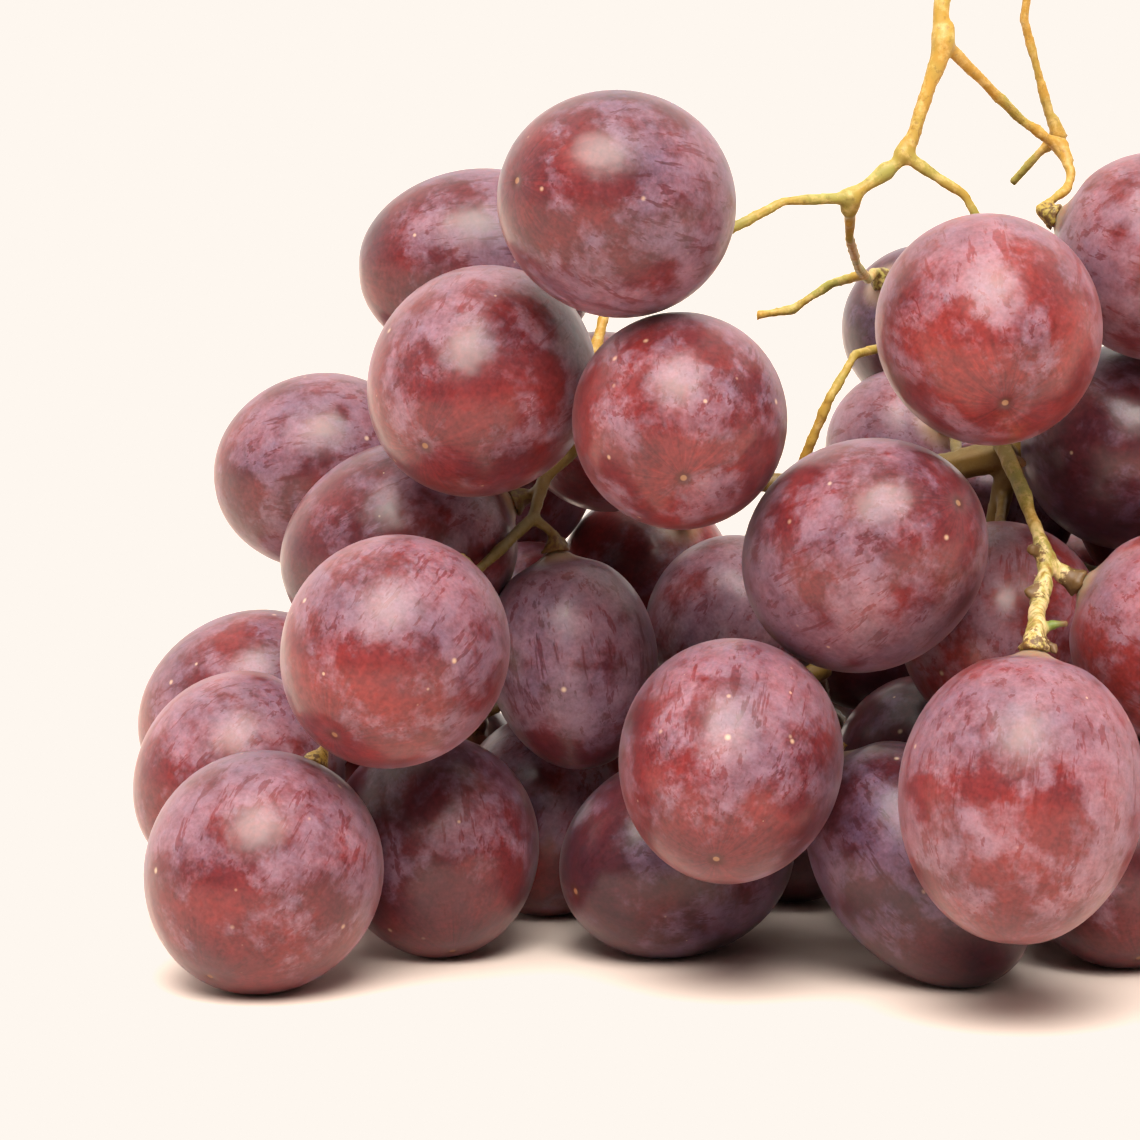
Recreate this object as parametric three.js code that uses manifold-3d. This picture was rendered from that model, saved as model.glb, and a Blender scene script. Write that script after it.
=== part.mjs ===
// A bunch of red table grapes, cut from the vine and set down on a surface.
// Millimetres, +Z up, +X along the bunch, -Y is its front. The origin is under its middle.
//
// It has two kinds of piece. The stalk grew in one piece: the cut peduncle, the rachis that
// runs on from it into the bunch, the laterals and a pedicel with its small disc for each grape.
// Each grape is a piece of its own. The grapes of the front are placed one by one. The others
// fill the back, the underside and the right end by a rule, and then all of them are pushed
// apart until they only touch. Last the pedicels find their way to the wood between them.

import * as THREE from 'three';
import { mergeVertices } from 'three/addons/utils/BufferGeometryUtils.js';
import Module from 'manifold-3d';

// Driving sizes, from grapes of this kind: 20 to 30 mm long, the bunch about 190 mm.
const GRAPE_GAP = 0.25; // clear space between grapes that touch
const STALK_GAP = 0.3; // clear space between the wood and a grape
const REST_FLAT_DEPTH = 0.4; // how much a grape on the surface is pressed flat
const STEM_END_FULLNESS = 0.04; // a grape is a little wider towards its stem
const FACET_SWELL = 1.01; // facets cut inside the true skin, so the faceted grape is this much larger

const MIDDLE_GRAPE_LENGTH = 24.5; // of the grapes that the rule places
const MIDDLE_GRAPE_WIDTH = 22.8;
const GRAPE_SIZE_SPREAD = 1.6;
const WIDTH_SHARE = 0.8; // a longer grape is wider too, by this share of what it is longer

const PEDICEL_RADIUS = 0.62;
const WOOD_GROWTH = 0.32; // the wood's radius grows with the grapes that it carries, to this power
const DISC_RADIUS = 1.9; // the small disc that a pedicel ends in
const ROOT_SWELLING = 1.3; // where wood grows out of other wood, against its own radius
const WOOD_SIDES = 6;

// The grapes of the front and those that show between them: middle, length, width, and the way
// in which the stem end points.
const FRONT_GRAPES = [
  { at: [-38.3, -27, 82.9], long: 25.6, wide: 23.6, stem: [0.8, 0.55, -0.2] },
  { at: [-53.2, 12, 74], long: 27.5, wide: 22.6, stem: [0.9, 0.2, 0.25] },
  { at: [-52.6, -16.5, 63.3], long: 27.6, wide: 24, stem: [0.4, 0.68, 0.62] },
  { at: [-31.2, -27, 59.8], long: 23.6, wide: 22.6, stem: [0.1, 0.8, 0.6] },
  { at: [-71, 20, 50], long: 25, wide: 23, stem: [0.95, 0.1, 0.25] },
  { at: [-62, 0, 43.4], long: 27.2, wide: 23.4, stem: [0.95, 0.25, 0.2] },
  { at: [-61.5, -29, 35.8], long: 25.4, wide: 23.8, stem: [0.47, 0.57, 0.67] },
  { at: [-43.6, -5, 31], long: 24.2, wide: 19, stem: [-0.08, 0.1, 0.99] },
  { at: [-79.7, 20, 21.2], long: 27.4, wide: 23.8, stem: [0.8, 0.1, 0.57] },
  { at: [-80.1, -5, 18.2], long: 24.6, wide: 22.8, stem: [0.65, 0.3, 0.68] },
  { at: [-75.5, -29, 12.4], long: 26.2, wide: 25.2, stem: [0.4, 0.5, 0.76], rests: true },
  { at: [-55.6, -7, 11.6], long: 25, wide: 22.8, stem: [0.1, 0.4, 0.9], rests: true },
  { at: [-25.7, -33, 24.6], long: 27.5, wide: 23.5, stem: [0.2, 0.6, 0.77] },
  { at: [-31.8, -11, 10.6], long: 27.8, wide: 22.4, stem: [0.85, 0.45, -0.1], rests: true },
  { at: [-11.8, -27, 46.3], long: 27.6, wide: 24.2, stem: [-0.65, 0.6, -0.46] },
  { at: [0.9, -27, 69.5], long: 25.8, wide: 23.6, stem: [-0.05, 0.85, 0.53] },
  { at: [21.1, -13, 76.2], long: 24, wide: 22.4, stem: [-0.9, 0.2, 0.35] },
  { at: [19.2, -4, 54.2], long: 23.6, wide: 22.4, stem: [-0.7, 0.5, 0.5] },
  { at: [8.1, -9, 35.6], long: 24, wide: 22.4, stem: [0.1, 0.5, 0.86] },
  { at: [2.6, -47.5, 23.5], long: 29.6, wide: 24.8, stem: [0.1, 0.25, 0.96] },
  { at: [21.5, -29, 37.3], long: 23.6, wide: 22.4, stem: [-0.87, 0.15, 0.47] },
  { at: [-5.7, -25, 13.8], long: 29.4, wide: 21, stem: [-0.45, 0.1, 0.89], rests: true },
  { at: [20.8, -18, 11], long: 23, wide: 22, stem: [-0.1, 0.6, 0.8], rests: true },
  { at: [-1.7, 3, 16], long: 24.4, wide: 21.6, stem: [0.2, 0.35, 0.9] },
  { at: [-4.1, 30, 29.5], long: 22.4, wide: 21.2, stem: [0.2, -0.2, 0.95] },
  { at: [-24.3, 15, 32.6], long: 21.8, wide: 20, stem: [0.4, -0.4, 0.8] },
  { at: [-35.3, 36, 35.5], long: 22.4, wide: 21, stem: [0.3, -0.5, 0.8] },
  { at: [-40.5, 18, 56.6], long: 22, wide: 20.6, stem: [0.7, -0.3, -0.6] },
  { at: [-49, 24, 31.5], long: 21, wide: 19.4, stem: [0.5, -0.6, 0.6] },
  { at: [0.6, 43, 64], long: 21.4, wide: 20.4, stem: [-0.55, -0.6, 0.58] },
  { at: [-2.2, 29.5, 51], long: 19.4, wide: 18.6, stem: [0.4, -0.8, 0.4] },
  { at: [8, 17, 46.5], long: 18, wide: 17.2, stem: [0.1, -0.6, 0.8] },
  { at: [-14.5, 20, 10.6], long: 22, wide: 21, stem: [0.3, -0.3, 0.9], rests: true },
];

// The wood that shows, and the rachis that it comes from: each run's points, and the run and
// point that it grows from. The other pedicels grow from these runs too, but not from one that
// is closed or carries a grape of its own, and from some only at the tip. The bare stub has
// lost its grape.
const WOOD = {
  peduncle: { points: [[26, 5, 132], [25, 4, 121], [28, 5, 107]] },
  rachis: { from: 'peduncle', points: [[33, 6, 91], [31, 8, 75], [22, 9, 65], [7, 3.5, 54]] },
  left_rachis: {
    from: 'rachis',
    points: [
      [-9, 9, 50], [-21, 9, 50], [-30, 7, 54], [-40, 3.5, 57], [-46, 0, 51.5], [-47, -3.5, 47.5],
    ],
  },
  left_front: { from: 'left_rachis', tipOnly: true, points: [[-50.2, -8, 45.2], [-53.4, -12, 42]] },
  left_low: {
    from: 'left_rachis', after: 0,
    points: [
      [-12, 12, 38], [-14, 8, 28.5], [-22, 3, 25.5], [-34, 4, 26], [-48, 8, 26], [-60, 3, 27],
      [-68, -8, 27.5],
    ],
  },
  right_rachis: { from: 'rachis', after: 2, points: [[38, 4, 52], [56, 2, 42], [68, 0, 30]] },
  foot: { from: 'rachis', points: [[3, 8, 35], [10, 14, 22]] },
  top_arch: {
    from: 'peduncle', after: 1, closed: true,
    points: [[12, -2, 119], [0, -8, 113], [-3.2, -12, 104], [-2.9, -13, 99.8]],
  },
  top_left: {
    from: 'top_arch', closed: true,
    points: [[-7, -14, 87.5], [-10.8, -14.5, 84], [-12.9, -15, 83.3]],
  },
  first_pedicel: { from: 'top_left', carries: 1, points: [[-18.3, -17, 83.4], [-24, -18.5, 81.6]] },
  back_pedicel: {
    from: 'top_left', carries: 30,
    points: [[-12.6, -10, 78.3], [-11.6, 0, 75.8], [-9, 16, 73.5], [-7.5, 29, 72]],
  },
  bare_stub: {
    from: 'back_pedicel', after: 2, closed: true,
    points: [[-12.7, 19.5, 72.4], [-17, 20, 69], [-22, 18, 68.6]],
  },
  top_pedicel: {
    from: 'top_left', after: 0, carries: 16,
    points: [[-2.2, -14, 85], [1.2, -14.5, 82]],
  },
  right_pedicel: {
    from: 'top_arch', carries: 17,
    points: [[4.8, -6, 92.3], [11, -4, 88.4], [12.6, -7, 84]],
  },
  back_arch: {
    from: 'peduncle', after: 1, tipOnly: true,
    points: [[17, 4, 115], [9, 2, 108], [6.6, 2, 104.4], [11.6, 3, 89.4], [6, 6, 83.4]],
  },
  side_pedicel: {
    from: 'rachis', carries: 15,
    points: [
      [0, -6, 62], [-8, -14, 67.6], [-12.6, -19, 66.9], [-14.7, -20, 63.9],
      [-16.6, -19, 57], [-21.5, -15.5, 50], [-24.5, -14.8, 43.5],
    ],
  },
  front_stem: {
    from: 'rachis', closed: true,
    points: [[3.6, -14, 57], [5.6, -21.5, 51.5], [7.2, -27, 45.6]],
  },
  front_side: { from: 'front_stem', carries: 21, points: [[9.4, -27.3, 44]] },
  front_pedicel: { from: 'front_stem', carries: 20, points: [[6.2, -31, 41.8], [4.8, -38, 40.4]] },
};

// The rule's layers: height of the grapes' middles, and how far the middles reach from the
// bunch's middle to the left, right, front and back. The steps between places leave them close.
const LAYERS = [
  { height: 11.6, left: -84, right: 80, front: -36, back: 42 },
  { height: 32, left: -72, right: 74, front: -32, back: 42 },
  { height: 52.5, left: -62, right: 66, front: -30, back: 40 },
  { height: 73, left: -50, right: 52, front: -22, back: 34 },
];
const PLACE_STEP = [25, 22.5]; // along the bunch, and from front to back
const PLACE_JITTER = 2;
const TAKEN_WITHIN = 21; // a place this near to a grape is left out
const WOOD_ROOM = 12.5; // and so is one this near to the wood that shows
const MOST_RULE_GRAPES = 26;
const CORNER_ROOM = 6; // the right end is round: places in its corners are left out
const CORNER_LIMIT = 1.3;

// The middle of the bunch is a level line this far out to each side, this far back and this high
const CORE = new THREE.Vector3(40, 3, 30);
const UP = new THREE.Vector3(0, 0, 1);
const SIDEWAYS = new THREE.Vector3(0, 1, 0);

// Over the saddle of the bunch the back stays low: its outline dips between two of the front grapes.
const SADDLE = { left: -42, right: 4, highest: 36 };
const LEFT_SHOULDER = { right: -62, highest: 40 };

// Seeded draws
function seededDraw(seed) {
  let state = seed;
  return () => {
    state = (Math.imul(state, 1664525) + 1013904223) >>> 0;
    return state / 4294967296;
  };
}
const draw = seededDraw(7);
const between = (low, high) => low + (high - low) * draw();
const jitter = (size) => between(-size, size);

// Grapes as ellipsoids, for the spacing
function makeGrape({ at, long, wide, stem, rests = false }, placedByHand) {
  return {
    at: new THREE.Vector3(...at),
    axis: new THREE.Vector3(...stem).normalize(),
    long,
    wide,
    rests,
    placedByHand,
  };
}

// Half of a grape's extent along a direction
function halfExtent(grape, direction) {
  const along = grape.axis.dot(direction);
  const half = Math.hypot(grape.long * along, grape.wide * Math.sqrt(Math.max(0, 1 - along * along)));
  return (FACET_SWELL * half) / 2;
}

// Distance from a point to a grape's skin, measured along the line to its middle
function clearOfGrape(grape, point) {
  const away = point.clone().sub(grape.at);
  const distance = away.length();
  if (distance === 0) {
    return -grape.wide / 2;
  }
  const along = grape.axis.dot(away) / distance;
  const across = 1 - along * along;
  const skin = 1 / Math.sqrt((2 * along / grape.long) ** 2 + across * (2 / grape.wide) ** 2);
  return distance - FACET_SWELL * skin;
}

// Wood as a tree of points, each of which knows what it grows from
const RUN_STEP = 2.4;

class WoodTree {
  constructor() {
    this.knots = [];
    this.runs = {};
    this.carriers = new Map();
  }

  add(point, parent, fixed) {
    this.knots.push({ point: point.clone(), parent, fixed, load: 0, end: null });
    return this.knots.length - 1;
  }

  addRun(name, { points, from, after, carries = 0, closed = false, tipOnly = false }) {
    const base = from === undefined ? null : this.runs[from];
    const first = this.knots.length;
    let parent = base === null ? -1 : base[after === undefined ? base.length - 1 : after];
    this.runs[name] = points.map((point) => {
      const end = new THREE.Vector3(...point);
      if (parent >= 0) {
        const start = this.knots[parent].point.clone();
        const count = Math.ceil(start.distanceTo(end) / RUN_STEP);
        for (let step = 1; step < count; step += 1) {
          parent = this.add(start.clone().lerp(end, step / count), parent, true);
        }
      }
      parent = this.add(end, parent, true);
      return parent;
    });
    this.knots.slice(first).forEach((knot, index, run) => {
      knot.closed = closed || carries > 0 || (tipOnly && index < run.length - 1);
    });
    if (carries > 0) {
      this.carriers.set(carries - 1, parent);
    }
  }

  children() {
    const lists = this.knots.map(() => []);
    this.knots.forEach((knot, index) => {
      if (knot.parent >= 0) {
        lists[knot.parent].push(index);
      }
    });
    return lists;
  }
}

function framework() {
  const tree = new WoodTree();
  Object.entries(WOOD).forEach(([name, run]) => tree.addRun(name, run));
  return tree;
}

function distanceToWood(tree, point) {
  return Math.min(...tree.knots.map((knot) => knot.point.distanceTo(point)));
}

// Places of the grapes that the rule gives
function hiddenFromFront([x, , z]) {
  const inSaddle = x > SADDLE.left && x < SADDLE.right && z > SADDLE.highest;
  const overShoulder = x < LEFT_SHOULDER.right && z > LEFT_SHOULDER.highest;
  return !inSaddle && !overShoulder;
}

function ruleGrapes(frontGrapes, tree) {
  const grapes = [];
  const [stepX, stepY] = PLACE_STEP;
  LAYERS.forEach((layer, level) => {
    let row = level;
    for (let y = layer.back; y > layer.front; y -= stepY) {
      const shift = (row % 2) * 0.5 * stepX;
      row += 1;
      for (let x = layer.right - shift; x > layer.left; x -= stepX) {
        const spread = jitter(GRAPE_SIZE_SPREAD);
        const at = [x, y, layer.height].map((value) => value + jitter(PLACE_JITTER));
        const place = new THREE.Vector3(...at);
        const near = (other) => other.at.distanceTo(place) < TAKEN_WITHIN;
        const cornerness = (x / layer.right) ** 2 + ((y - CORE.y) / (layer.back + CORNER_ROOM)) ** 2;
        const inCorner = x > 0 && cornerness > CORNER_LIMIT;
        const inWood = distanceToWood(tree, place) < WOOD_ROOM;
        if ([...frontGrapes, ...grapes].some(near) || inWood || inCorner || !hiddenFromFront(at)) {
          continue;
        }
        const long = MIDDLE_GRAPE_LENGTH + spread;
        const wide = MIDDLE_GRAPE_WIDTH + WIDTH_SHARE * spread;
        const stem = CORE.clone().sub(place).setX(-place.x).normalize().add(UP).toArray();
        grapes.push(makeGrape({ at, long, wide, stem, rests: level === 0 }, false));
      }
    }
  });
  return grapes.slice(0, MOST_RULE_GRAPES);
}

// Push grapes apart until none overlaps, and draw the rule's grapes in to the bunch
const SETTLING_ROUNDS = 700;
const DRAWN_IN_UNTIL = 420;
const DRAW_IN_STEP = 0.1;
const HAND_PLACED_SHARE = 0.12;
const WOOD_CLEARANCE = 2.6;
const WOOD_PUSH = 0.5; // share of the missing clearance that one round gives back
const FAR_APART = 36; // grapes with middles further apart than this can't touch

function restOnSurface(grape) {
  const lowest = halfExtent(grape, new THREE.Vector3(0, 0, 1)) - REST_FLAT_DEPTH;
  if (grape.rests || grape.at.z < lowest) {
    grape.at.z = lowest;
  }
}

function pushPairApart(first, second) {
  const away = second.at.clone().sub(first.at);
  const distance = away.length();
  if (distance > FAR_APART) {
    return;
  }
  away.divideScalar(distance);
  const overlap = halfExtent(first, away) + halfExtent(second, away) + GRAPE_GAP - distance;
  if (overlap <= 0) {
    return;
  }
  const share = (grape) => (grape.placedByHand ? HAND_PLACED_SHARE : 1);
  const total = share(first) + share(second);
  first.at.addScaledVector(away, (-overlap * share(first)) / total);
  second.at.addScaledVector(away, (overlap * share(second)) / total);
}

function pushClearOfWood(grape, woodPoints) {
  woodPoints.forEach((point) => {
    const short = WOOD_CLEARANCE - clearOfGrape(grape, point);
    if (short > 0) {
      const away = grape.at.clone().sub(point).normalize();
      grape.at.addScaledVector(away, WOOD_PUSH * short);
    }
  });
}

function settle(grapes, tree, rounds, drawnInUntil) {
  const wood = tree.knots.map((knot) => knot.point);
  for (let round = 0; round < rounds; round += 1) {
    grapes.forEach((grape, index) => {
      if (!grape.placedByHand && round < drawnInUntil) {
        const inward = CORE.clone().setX(THREE.MathUtils.clamp(grape.at.x, -CORE.x, CORE.x));
        grape.at.addScaledVector(inward.sub(grape.at).normalize(), DRAW_IN_STEP);
      }
      if (!grape.placedByHand) {
        pushClearOfWood(grape, wood);
      }
      for (let other = index + 1; other < grapes.length; other += 1) {
        pushPairApart(grape, grapes[other]);
      }
    });
    grapes.forEach(restOnSurface);
  }
}

// The room between the grapes, as a grid of cells with the way back to the wood from each
const CELL = 1.5;
const ROOM_LOW = new THREE.Vector3(-100, -64, 0);
const ROOM_HIGH = new THREE.Vector3(100, 66, 100);
const LEAST_CLEAR = 0.75;
const EASY_CLEAR = 1.7;
const TIGHTNESS = 4;

class Room {
  constructor(grapes) {
    const size = ROOM_HIGH.clone().sub(ROOM_LOW).divideScalar(CELL);
    this.counts = [Math.ceil(size.x), Math.ceil(size.y), Math.ceil(size.z)];
    const cells = this.counts[0] * this.counts[1] * this.counts[2];
    this.clear = new Float32Array(cells).fill(EASY_CLEAR);
    this.cost = new Float64Array(cells).fill(Infinity);
    this.back = new Int32Array(cells).fill(-1);
    grapes.forEach((grape) => this.markGrape(grape));
  }

  indexOf(i, j, k) {
    return (k * this.counts[1] + j) * this.counts[0] + i;
  }

  placeOf(index) {
    const i = index % this.counts[0];
    const j = Math.floor(index / this.counts[0]) % this.counts[1];
    const k = Math.floor(index / (this.counts[0] * this.counts[1]));
    return [i, j, k];
  }

  pointOf(index) {
    return new THREE.Vector3(...this.placeOf(index)).addScalar(0.5).multiplyScalar(CELL).add(ROOM_LOW);
  }

  cellAt(point) {
    const place = point.clone().sub(ROOM_LOW).divideScalar(CELL).floor();
    const limit = (value, count) => THREE.MathUtils.clamp(value, 0, count - 1);
    const [i, j, k] = place.toArray().map((value, axis) => limit(value, this.counts[axis]));
    return this.indexOf(i, j, k);
  }

  markGrape(grape) {
    const reach = 0.5 * grape.long + EASY_CLEAR + CELL;
    const low = this.placeOf(this.cellAt(grape.at.clone().subScalar(reach)));
    const high = this.placeOf(this.cellAt(grape.at.clone().addScalar(reach)));
    for (let k = low[2]; k <= high[2]; k += 1) {
      for (let j = low[1]; j <= high[1]; j += 1) {
        for (let i = low[0]; i <= high[0]; i += 1) {
          const index = this.indexOf(i, j, k);
          this.clear[index] = Math.min(this.clear[index], clearOfGrape(grape, this.pointOf(index)));
        }
      }
    }
  }

  // Spread out from the wood: each cell learns its cheapest way back, tight gaps costing more
  spreadFrom(tree) {
    const heap = new Heap();
    tree.knots.forEach(({ point, closed }) => {
      if (point.z < ROOM_HIGH.z && !closed) {
        const index = this.cellAt(point);
        this.cost[index] = 0;
        heap.push(0, index);
      }
    });
    while (heap.size() > 0) {
      const [cost, index] = heap.pop();
      if (cost > this.cost[index]) {
        continue;
      }
      this.stepFrom(index, cost, heap);
    }
  }

  stepFrom(index, cost, heap) {
    const [i, j, k] = this.placeOf(index);
    NEIGHBOURS.forEach(([di, dj, dk, length]) => {
      const inside = i + di >= 0 && i + di < this.counts[0]
        && j + dj >= 0 && j + dj < this.counts[1]
        && k + dk >= 0 && k + dk < this.counts[2];
      if (!inside) {
        return;
      }
      const next = this.indexOf(i + di, j + dj, k + dk);
      const clear = this.clear[next];
      if (clear < LEAST_CLEAR) {
        return;
      }
      const nextCost = cost + CELL * length * (1 + TIGHTNESS * (EASY_CLEAR - clear) ** 2);
      if (nextCost < this.cost[next]) {
        this.cost[next] = nextCost;
        this.back[next] = index;
        heap.push(nextCost, next);
      }
    });
  }
}

const NEIGHBOURS = [];
for (const di of [-1, 0, 1]) {
  for (const dj of [-1, 0, 1]) {
    for (const dk of [-1, 0, 1]) {
      if (di !== 0 || dj !== 0 || dk !== 0) {
        NEIGHBOURS.push([di, dj, dk, Math.hypot(di, dj, dk)]);
      }
    }
  }
}

// A queue that gives its cheapest entry first
class Heap {
  constructor() {
    this.entries = [];
  }

  size() {
    return this.entries.length;
  }

  push(cost, value) {
    const entries = this.entries;
    entries.push([cost, value]);
    let child = entries.length - 1;
    while (child > 0) {
      const parent = (child - 1) >> 1;
      if (entries[parent][0] <= entries[child][0]) {
        break;
      }
      [entries[parent], entries[child]] = [entries[child], entries[parent]];
      child = parent;
    }
  }

  pop() {
    const entries = this.entries;
    const top = entries[0];
    const last = entries.pop();
    if (entries.length > 0) {
      entries[0] = last;
      let parent = 0;
      for (;;) {
        let child = 2 * parent + 1;
        if (child >= entries.length) {
          break;
        }
        if (child + 1 < entries.length && entries[child + 1][0] < entries[child][0]) {
          child += 1;
        }
        if (entries[parent][0] <= entries[child][0]) {
          break;
        }
        [entries[parent], entries[child]] = [entries[child], entries[parent]];
        parent = child;
      }
    }
    return top;
  }
}

// Turn each grape's stem end towards the easiest way out, within a cone
const STEM_STANDOFF = 2.4; // how far a pedicel stands straight up from its grape
const TURN_DRAWS = 160;
const WIDEST_TURN = 2; // the draws widen up to this, against the stem direction's length of 1
const TURN_PRICE = 60;
const FRONT_TURN = Math.cos(THREE.MathUtils.degToRad(28));
const RULE_TURN = Math.cos(THREE.MathUtils.degToRad(100));

function stemFoot(grape, standoff) {
  return grape.at.clone().addScaledVector(grape.axis, FACET_SWELL * grape.long / 2 + standoff);
}

function turnStemEnd(grape, room) {
  const wanted = grape.axis.clone();
  const limit = grape.placedByHand ? FRONT_TURN : RULE_TURN;
  let best = Infinity;
  let chosen = wanted;
  const trial = { ...grape };
  for (let turn = 0; turn < TURN_DRAWS; turn += 1) {
    const nudge = new THREE.Vector3(jitter(1), jitter(1), jitter(1));
    nudge.multiplyScalar((WIDEST_TURN * turn) / TURN_DRAWS);
    trial.axis = wanted.clone().add(nudge).normalize();
    const along = trial.axis.dot(wanted);
    if (along < limit) {
      continue;
    }
    const cell = room.cellAt(stemFoot(trial, STEM_STANDOFF));
    const price = room.cost[cell] + TURN_PRICE * (1 - along);
    if (room.clear[cell] >= LEAST_CLEAR && price < best) {
      best = price;
      chosen = trial.axis;
    }
  }
  grape.axis = chosen;
}

// Grow a pedicel from each grape back to the wood, sharing wood where their ways meet
function growPedicels(grapes, tree, room) {
  const knotOfCell = new Map();
  tree.knots.forEach((knot, index) => {
    if (!knot.closed) {
      knotOfCell.set(room.cellAt(knot.point), index);
    }
  });
  grapes.forEach((grape, index) => {
    let parent = tree.carriers.get(index);
    if (parent === undefined) {
      const path = [];
      let cell = room.cellAt(stemFoot(grape, STEM_STANDOFF));
      while (!knotOfCell.has(cell)) {
        path.push(cell);
        cell = room.back[cell];
      }
      parent = knotOfCell.get(cell);
      path.reverse().forEach((step) => {
        parent = tree.add(room.pointOf(step), parent, false);
        knotOfCell.set(step, parent);
      });
    }
    parent = tree.add(stemFoot(grape, STEM_STANDOFF), parent, true);
    tree.knots[parent].end = grape;
  });
}

// Ease the cell-by-cell ways into smooth wood that stays clear of the grapes
const EASING_ROUNDS = 60;
const EASE = 0.4;
const FRAMEWORK_EASE = 0.01;
const EASE_CLEAR = 0.6; // share of the missing room between wood and grape that one round gives back

function easeWood(tree, grapes) {
  const children = tree.children();
  for (let round = 0; round < EASING_ROUNDS; round += 1) {
    tree.knots.forEach((knot, index) => {
      if (knot.parent < 0 || knot.end !== null) {
        return;
      }
      const around = [tree.knots[knot.parent], ...children[index].map((child) => tree.knots[child])];
      const middle = new THREE.Vector3();
      around.forEach((other) => middle.add(other.point));
      knot.point.lerp(middle.divideScalar(around.length), knot.fixed ? FRAMEWORK_EASE : EASE);
      grapes.forEach((grape) => {
        const short = knot.radius + 2 * STALK_GAP - clearOfGrape(grape, knot.point);
        if (short > 0) {
          const away = knot.point.clone().sub(grape.at).normalize();
          knot.point.addScaledVector(away, EASE_CLEAR * short);
        }
      });
      knot.point.z = Math.max(knot.point.z, knot.radius + 2 * STALK_GAP);
    });
  }
}

function loadWood(tree) {
  tree.knots.forEach((knot) => {
    knot.load = 0;
  });
  tree.knots.forEach((knot) => {
    if (knot.end !== null) {
      for (let up = knot; up !== undefined; up = tree.knots[up.parent]) {
        up.load += 1;
      }
    }
  });
  tree.knots.forEach((knot) => {
    knot.radius = PEDICEL_RADIUS * Math.max(1, knot.load) ** WOOD_GROWTH;
  });
}

// The wood as chains from fork to fork or to an end, without the points that a straight
// stretch doesn't need
const STRAIGHT_WITHIN = 0.6;
const LONGEST_STRETCH = 20;

function straightEnough(knots, first, last) {
  const line = new THREE.Line3(knots[first].point, knots[last].point);
  const nearest = new THREE.Vector3();
  if (line.distance() > LONGEST_STRETCH) {
    return false;
  }
  for (let index = first + 1; index < last; index += 1) {
    line.closestPointToPoint(knots[index].point, true, nearest);
    if (nearest.distanceTo(knots[index].point) > STRAIGHT_WITHIN) {
      return false;
    }
  }
  return true;
}

function thinOut(chain) {
  const kept = [chain[0]];
  let first = 0;
  while (first < chain.length - 1) {
    let last = first + 1;
    while (last + 1 < chain.length && straightEnough(chain, first, last + 1)) {
      last += 1;
    }
    kept.push(chain[last]);
    first = last;
  }
  return kept;
}

function woodChains(tree) {
  const children = tree.children();
  const heaviest = (index) => children[index].reduce(
    (best, child) => (tree.knots[child].load > tree.knots[best].load ? child : best),
    children[index][0],
  );
  const chains = [];
  tree.knots.forEach((knot, index) => {
    const goesOn = knot.parent < 0 ? undefined : heaviest(index);
    children[index].filter((child) => child !== goesOn).forEach((child) => {
      const chain = [knot];
      for (let next = child; next !== undefined; next = heaviest(next)) {
        chain.push(tree.knots[next]);
      }
      chains.push(thinOut(chain));
    });
  });
  return chains;
}

// Solids
const wasm = await Module();
wasm.setup();

function toManifold(geometry) {
  const bare = geometry.clone();
  bare.deleteAttribute('normal');
  bare.deleteAttribute('uv');
  const merged = mergeVertices(bare, 1e-5);
  const mesh = new wasm.Mesh({
    numProp: 3,
    vertProperties: new Float32Array(merged.attributes.position.array),
    triVerts: new Uint32Array(merged.index.array),
  });
  return new wasm.Manifold(mesh);
}

function toGeometry(solid) {
  const mesh = solid.getMesh();
  const geometry = new THREE.BufferGeometry();
  geometry.setAttribute('position', new THREE.BufferAttribute(new Float32Array(mesh.vertProperties), 3));
  geometry.setIndex(new THREE.BufferAttribute(new Uint32Array(mesh.triVerts), 1));
  geometry.computeVertexNormals();
  return geometry;
}

function grapeGeometry(grape, grown) {
  const geometry = new THREE.IcosahedronGeometry(1, 2);
  const position = geometry.attributes.position;
  for (let index = 0; index < position.count; index += 1) {
    const height = position.getZ(index);
    const across = (FACET_SWELL * grape.wide * (1 + STEM_END_FULLNESS * height)) / 2 + grown;
    const along = (FACET_SWELL * grape.long) / 2 + grown;
    position.setXYZ(index, position.getX(index) * across, position.getY(index) * across, height * along);
  }
  geometry.applyQuaternion(new THREE.Quaternion().setFromUnitVectors(UP, grape.axis));
  geometry.translate(...grape.at.toArray());
  return geometry;
}

// What lies under the surface, wider than the bunch
const BLOCK_SIDE = 400;
const surfaceBlock = toManifold(
  new THREE.BoxGeometry(BLOCK_SIDE, BLOCK_SIDE, BLOCK_SIDE).translate(0, 0, -BLOCK_SIDE / 2),
);

function grapeSolid(grape) {
  const geometry = grapeGeometry(grape, 0);
  if (!grape.rests) {
    return toManifold(geometry);
  }
  geometry.computeBoundingBox();
  geometry.translate(0, 0, -REST_FLAT_DEPTH - geometry.boundingBox.min.z);
  return toManifold(geometry).subtract(surfaceBlock);
}

// A closed tube through rings that each have a middle and a radius
const NEARLY_UPRIGHT = 0.8;

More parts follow.
